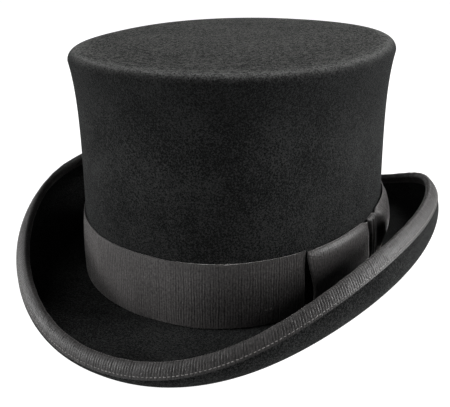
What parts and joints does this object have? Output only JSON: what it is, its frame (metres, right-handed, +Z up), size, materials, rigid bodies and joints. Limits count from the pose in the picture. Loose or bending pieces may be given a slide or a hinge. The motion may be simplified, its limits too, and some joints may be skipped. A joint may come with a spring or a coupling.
{
  "type": "top hat",
  "caption": "Black wool felt top hat with a flared crown, a rolled and ribbon-bound brim that sweeps up at the sides, a grosgrain band with a side bow, a sweatband and a satin lining.",
  "frame": {"origin": "centre of the bounding box at its bottom, which is where the front and back dips of the brim stand", "axes": "+Z up through the crown's tip; -Y is the front of the hat; +X is the wearer's left, the side with the bow"},
  "size_m": [0.2492, 0.2996, 0.1481],
  "materials": {
    "felt": "matt brushed wool felt, near black",
    "grosgrain": "ribbed ribbon, charcoal with a slight sheen",
    "thread": "twisted sewing thread",
    "leather": "smooth black hat leather",
    "reed_plastic": "matt drawn plastic",
    "welt_cloth": "plain woven tape",
    "satin": "black satin"
  },
  "bodies": {
    "root": {"felt_body": "felt", "brim_binding": "grosgrain", "binding_stitching": "thread", "hat_band": "grosgrain", "bow_loops": "grosgrain", "bow_knot": "grosgrain", "bow_tack": "thread", "band_tack": "thread", "sweatband": "leather", "sweatband_reed": "reed_plastic", "reed_welt": "welt_cloth", "sweatband_bow": "grosgrain", "lining_side": "satin", "lining_tip": "satin"}
  },
  "joints": []
}
